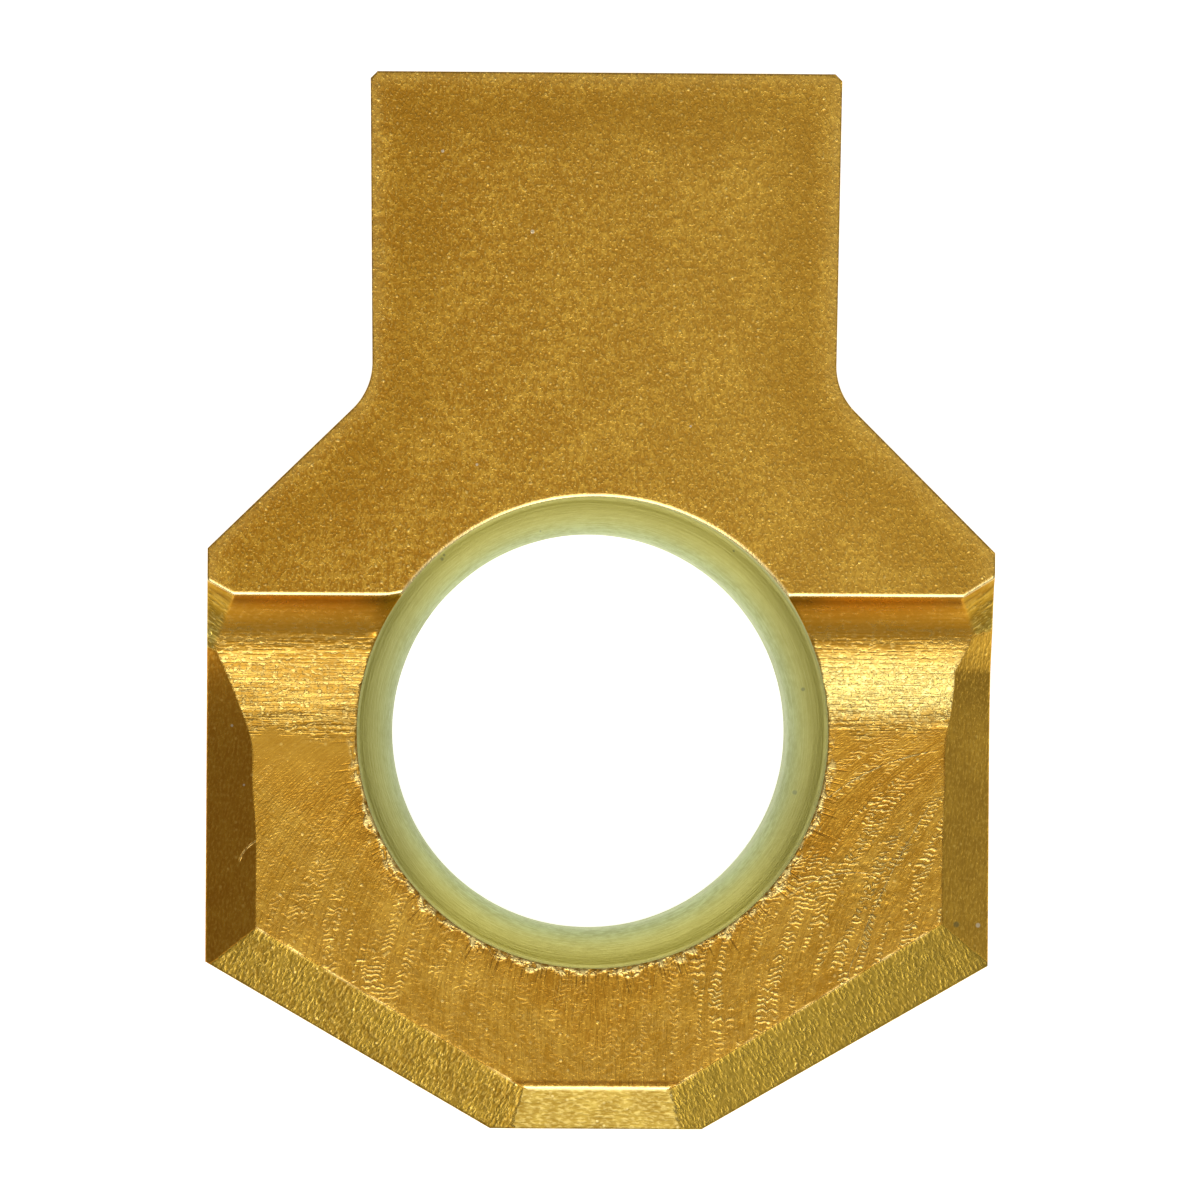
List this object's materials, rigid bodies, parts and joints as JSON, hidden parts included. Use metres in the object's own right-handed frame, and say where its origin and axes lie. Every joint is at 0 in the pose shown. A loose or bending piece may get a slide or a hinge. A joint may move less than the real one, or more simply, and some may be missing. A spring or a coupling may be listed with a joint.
{
  "type": "grooving insert",
  "caption": "One-piece grooving insert for a lathe: a wide square-ended blade on a seven-sided body with a screw hole and a recessed, bevelled rear.",
  "frame": {"origin": "axis of the screw hole at the flat back face", "axes": "+Z along the screw hole, out of the rake face; +Y from the hole to the cutting edge; +X along the cutting edge"},
  "size_m": [0.0159, 0.0213, 0.0063],
  "materials": {
    "coated_carbide": "gold titanium nitride coating, ground on the rake face and rough on the recessed floor"
  },
  "bodies": {
    "root": {"grooving_insert": "coated_carbide"}
  },
  "joints": []
}
